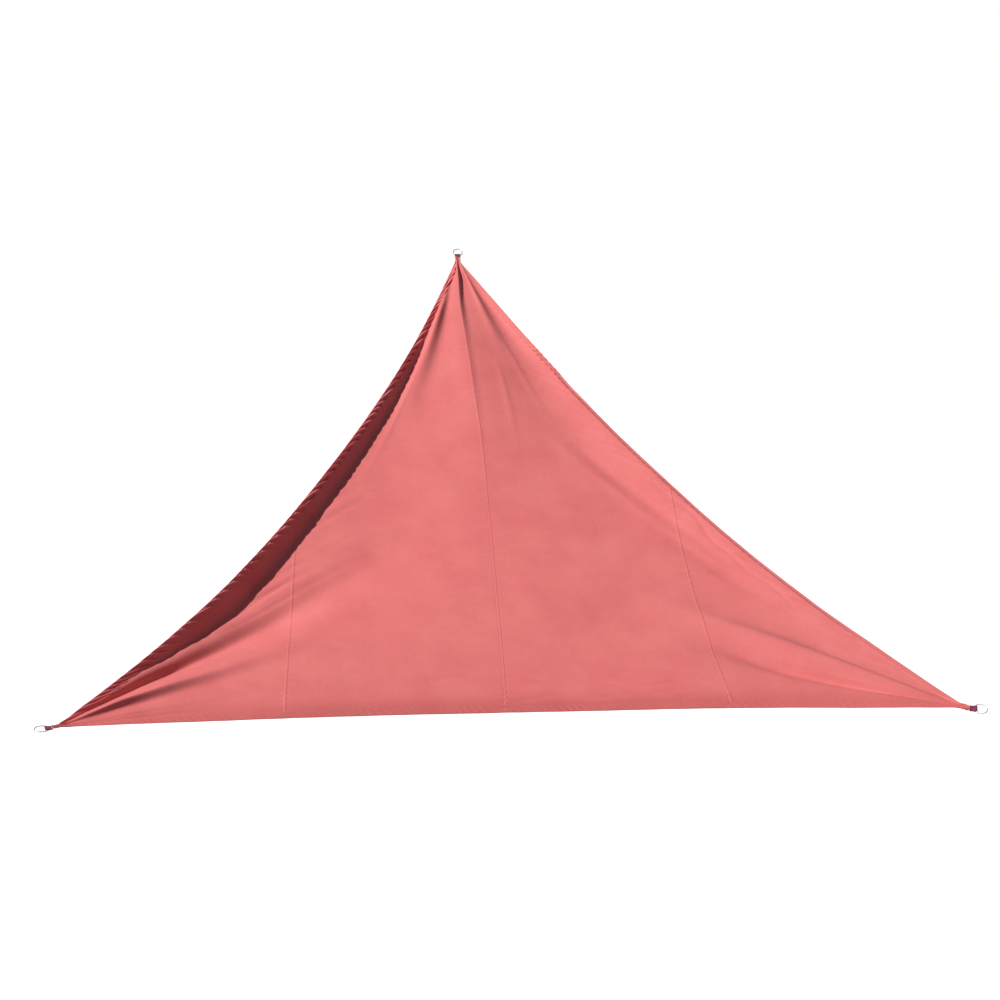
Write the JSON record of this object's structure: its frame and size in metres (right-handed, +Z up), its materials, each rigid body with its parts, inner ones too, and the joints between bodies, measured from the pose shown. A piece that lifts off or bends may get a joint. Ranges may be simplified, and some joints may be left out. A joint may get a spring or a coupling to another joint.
{
  "type": "shade sail",
  "caption": "Triangular woven shade sail hung by its corners, with drawn-in hemmed edges, felled seams, gathered corners, and a steel D-ring in a webbing loop at each corner.",
  "frame": {"origin": "outer end of the apex corner's ring, where the rope or hook holds it", "axes": "+Z up, +X along the level base edge from the left corner to the right, +Y level and up the slope towards the apex"},
  "size_m": [3.6019, 2.5527, 1.8313],
  "materials": {
    "coral_polyester": "plain woven polyester, dull",
    "maroon_webbing": "woven webbing, slight sheen",
    "steel": "smooth drawn bar, welded"
  },
  "bodies": {
    "root": {"panel_left": "coral_polyester", "panel_centre_left": "coral_polyester", "panel_centre_right": "coral_polyester", "panel_right": "coral_polyester", "tab_apex": "maroon_webbing", "tab_left": "maroon_webbing", "tab_right": "maroon_webbing", "ring_apex": "steel", "ring_left": "steel", "ring_right": "steel"}
  },
  "joints": []
}
